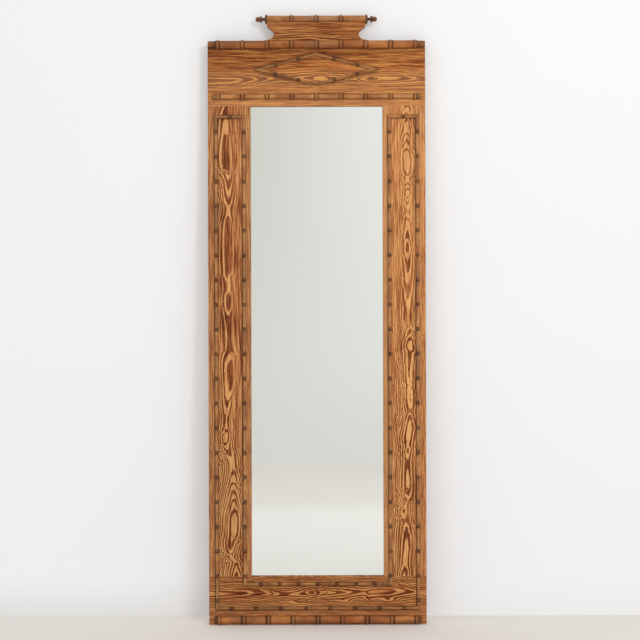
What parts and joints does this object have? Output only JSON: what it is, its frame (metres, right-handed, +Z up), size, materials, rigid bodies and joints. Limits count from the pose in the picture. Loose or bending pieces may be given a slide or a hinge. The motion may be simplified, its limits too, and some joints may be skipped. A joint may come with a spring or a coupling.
{
  "type": "floor mirror",
  "caption": "Tall floor mirror: waxed pitch pine frame with a coved crest, turned bamboo-pattern rods and beads, and a plain silvered plate, standing on the floor and leaning on a wall.",
  "frame": {"origin": "middle of the bottom rail's underside, where the mirror stands on the floor", "axes": "+Z up the frame, +X to the right seen from the front, +Y from the plate's face to the back"},
  "size_m": [0.75, 0.0484, 2.106],
  "materials": {
    "pitch_pine": "waxed, satin, bold grain",
    "turned_pine": "stained and waxed",
    "raw_pine": "unfinished, aged",
    "silvered_plate": "silvered glass",
    "nail_iron": "dull dark iron"
  },
  "bodies": {
    "root": {"left_stile": "pitch_pine", "right_stile": "pitch_pine", "top_rail": "pitch_pine", "bottom_rail": "pitch_pine", "crest_board": "pitch_pine", "crest_rod": "turned_pine", "left_finial": "turned_pine", "right_finial": "turned_pine", "cornice_rod": "turned_pine", "frieze_rod": "turned_pine", "base_rod": "turned_pine", "lozenge_upper_right_bead": "turned_pine", "lozenge_lower_right_bead": "turned_pine", "lozenge_lower_left_bead": "turned_pine", "lozenge_upper_left_bead": "turned_pine", "left_outer_bead": "turned_pine", "left_top_bead": "turned_pine", "left_inner_bead": "turned_pine", "apron_bead": "turned_pine", "right_inner_bead": "turned_pine", "right_top_bead": "turned_pine", "right_outer_bead": "turned_pine", "plinth_bead": "turned_pine", "crest_dowels": "raw_pine", "glass_blocks": "raw_pine", "backboard_1": "raw_pine", "backboard_2": "raw_pine", "backboard_3": "raw_pine", "mirror_plate": "silvered_plate", "backboard_nails": "nail_iron"}
  },
  "joints": []
}
